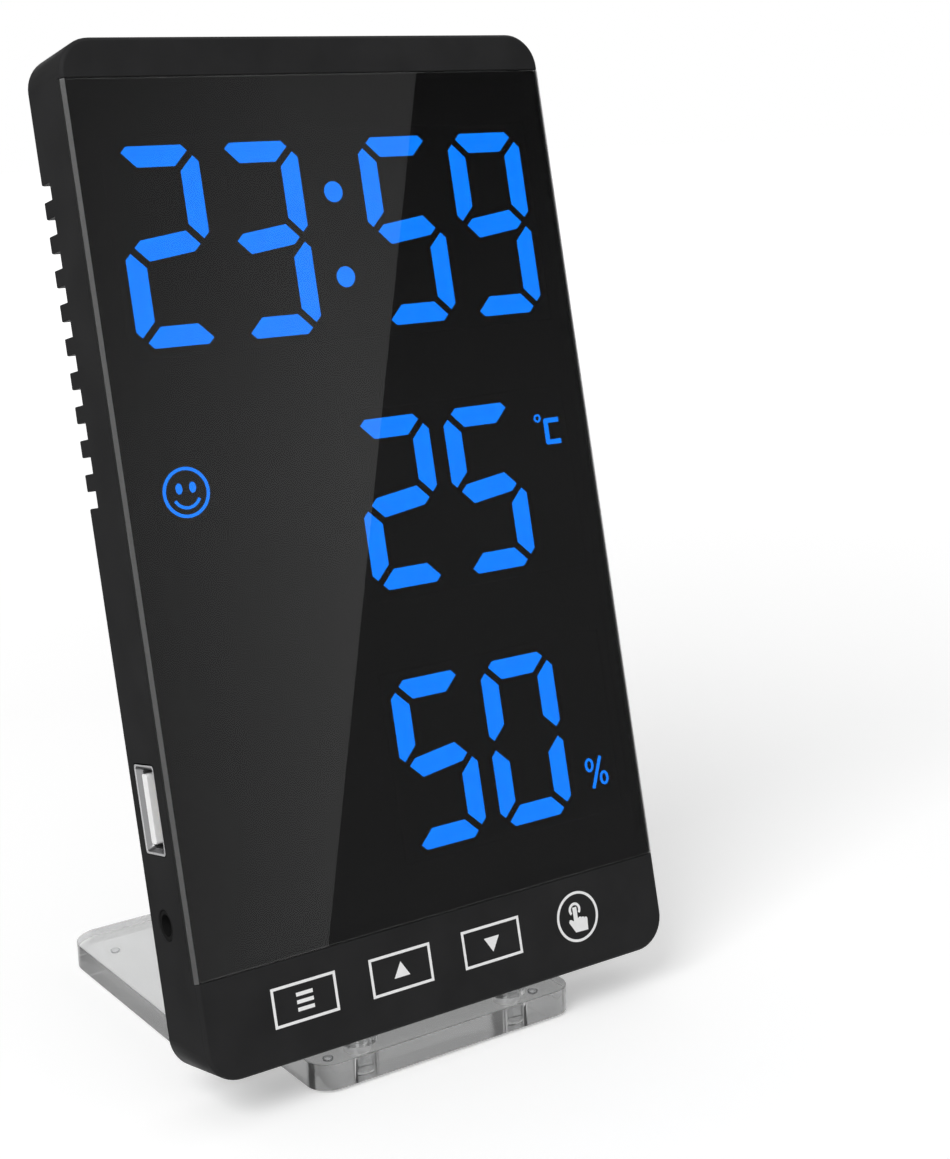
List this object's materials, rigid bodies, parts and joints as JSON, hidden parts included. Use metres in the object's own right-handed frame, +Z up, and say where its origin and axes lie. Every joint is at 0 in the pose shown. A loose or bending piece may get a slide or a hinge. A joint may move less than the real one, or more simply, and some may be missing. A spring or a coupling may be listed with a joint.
{
  "type": "thermometer hygrometer clock",
  "caption": "Slim digital table clock with lit time, temperature and humidity behind a dark lens, touch keys and side ports, leaning back on a clear plug-in stand.",
  "frame": {"origin": "middle of the bounding box on the table, under the stand's feet", "axes": "+X to the right as seen from the front, +Y to the back, +Z up; the display faces -Y and leans back"},
  "size_m": [0.09, 0.0768, 0.1675],
  "materials": {
    "black_plastic": "fine satin grain",
    "clear_lens": "polished clear sheet",
    "dark_film": "dark half mirror",
    "black_tape": "dull",
    "dark_frame": "dull",
    "lit_blue": "glowing blue diffuser",
    "unlit_bar": "smoked diffuser",
    "lamp_resin": "resin over a small lamp",
    "board_green": "solder mask",
    "copper": "bare metal",
    "chip_black": "moulded",
    "tin": "plated",
    "ceramic": "fired",
    "sensor_white": "moulded",
    "ribbon_grey": "flexible",
    "white_ink": "printed",
    "port_steel": "bright plated sheet",
    "port_white": "moulded",
    "contact_brass": "gold plated",
    "port_black": "moulded",
    "cell_steel": "bright",
    "screw_steel": "plated",
    "black_screw": "black plated",
    "clear_stand": "polished clear acrylic",
    "soft_foot": "soft, translucent"
  },
  "bodies": {
    "stand": {"stand_plate": "clear_stand", "stand_pegs": "clear_stand", "stand_feet": "soft_foot"},
    "clock": {"front_housing": "black_plastic", "rear_cover": "black_plastic", "front_lens": "clear_lens", "mirror_film": "dark_film", "lens_tape": "black_tape", "time_reflector": "dark_frame", "temperature_reflector": "dark_frame", "humidity_reflector": "dark_frame", "comfort_reflector": "dark_frame", "time_bars": "lit_blue", "temperature_bars": "lit_blue", "humidity_bars": "lit_blue", "colon_dots": "lit_blue", "unit_signs": "lit_blue", "comfort_face": "lit_blue", "dark_bars": "unlit_bar", "sign_diffusers": "unlit_bar", "led_chips": "lamp_resin", "main_board": "board_green", "power_board": "board_green", "touch_board": "board_green", "touch_electrodes": "copper", "touch_header": "chip_black", "microcontroller": "chip_black", "display_drivers": "chip_black", "buzzer": "chip_black", "resistors": "chip_black", "clock_crystal": "tin", "capacitors": "ceramic", "power_parts": "ceramic", "humidity_sensor": "sensor_white", "power_ribbon": "ribbon_grey", "key_legends": "white_ink", "usb_shell": "port_steel", "usb_tongue": "port_white", "usb_contacts": "contact_brass", "dc_jack_body": "port_black", "dc_jack_pin": "port_steel", "dc_jack_spring": "contact_brass", "coin_cell": "cell_steel", "battery_contacts": "tin", "board_screws": "screw_steel", "power_board_screws": "screw_steel", "case_screws": "black_screw"},
    "battery_cover": {"battery_cover": "black_plastic"}
  },
  "joints": [
    {"name": "clock_lift", "type": "slide", "parent": "stand", "child": "clock", "axis": [0, 0, 1], "range_m": [0, 0.02]},
    {"name": "battery_cover_turn", "type": "hinge", "parent": "clock", "child": "battery_cover", "pos_m": [-0.02712, -0.00993, 0.0756], "axis": [0, 0.9785, -0.2062], "range_deg": [0, 60]}
  ]
}
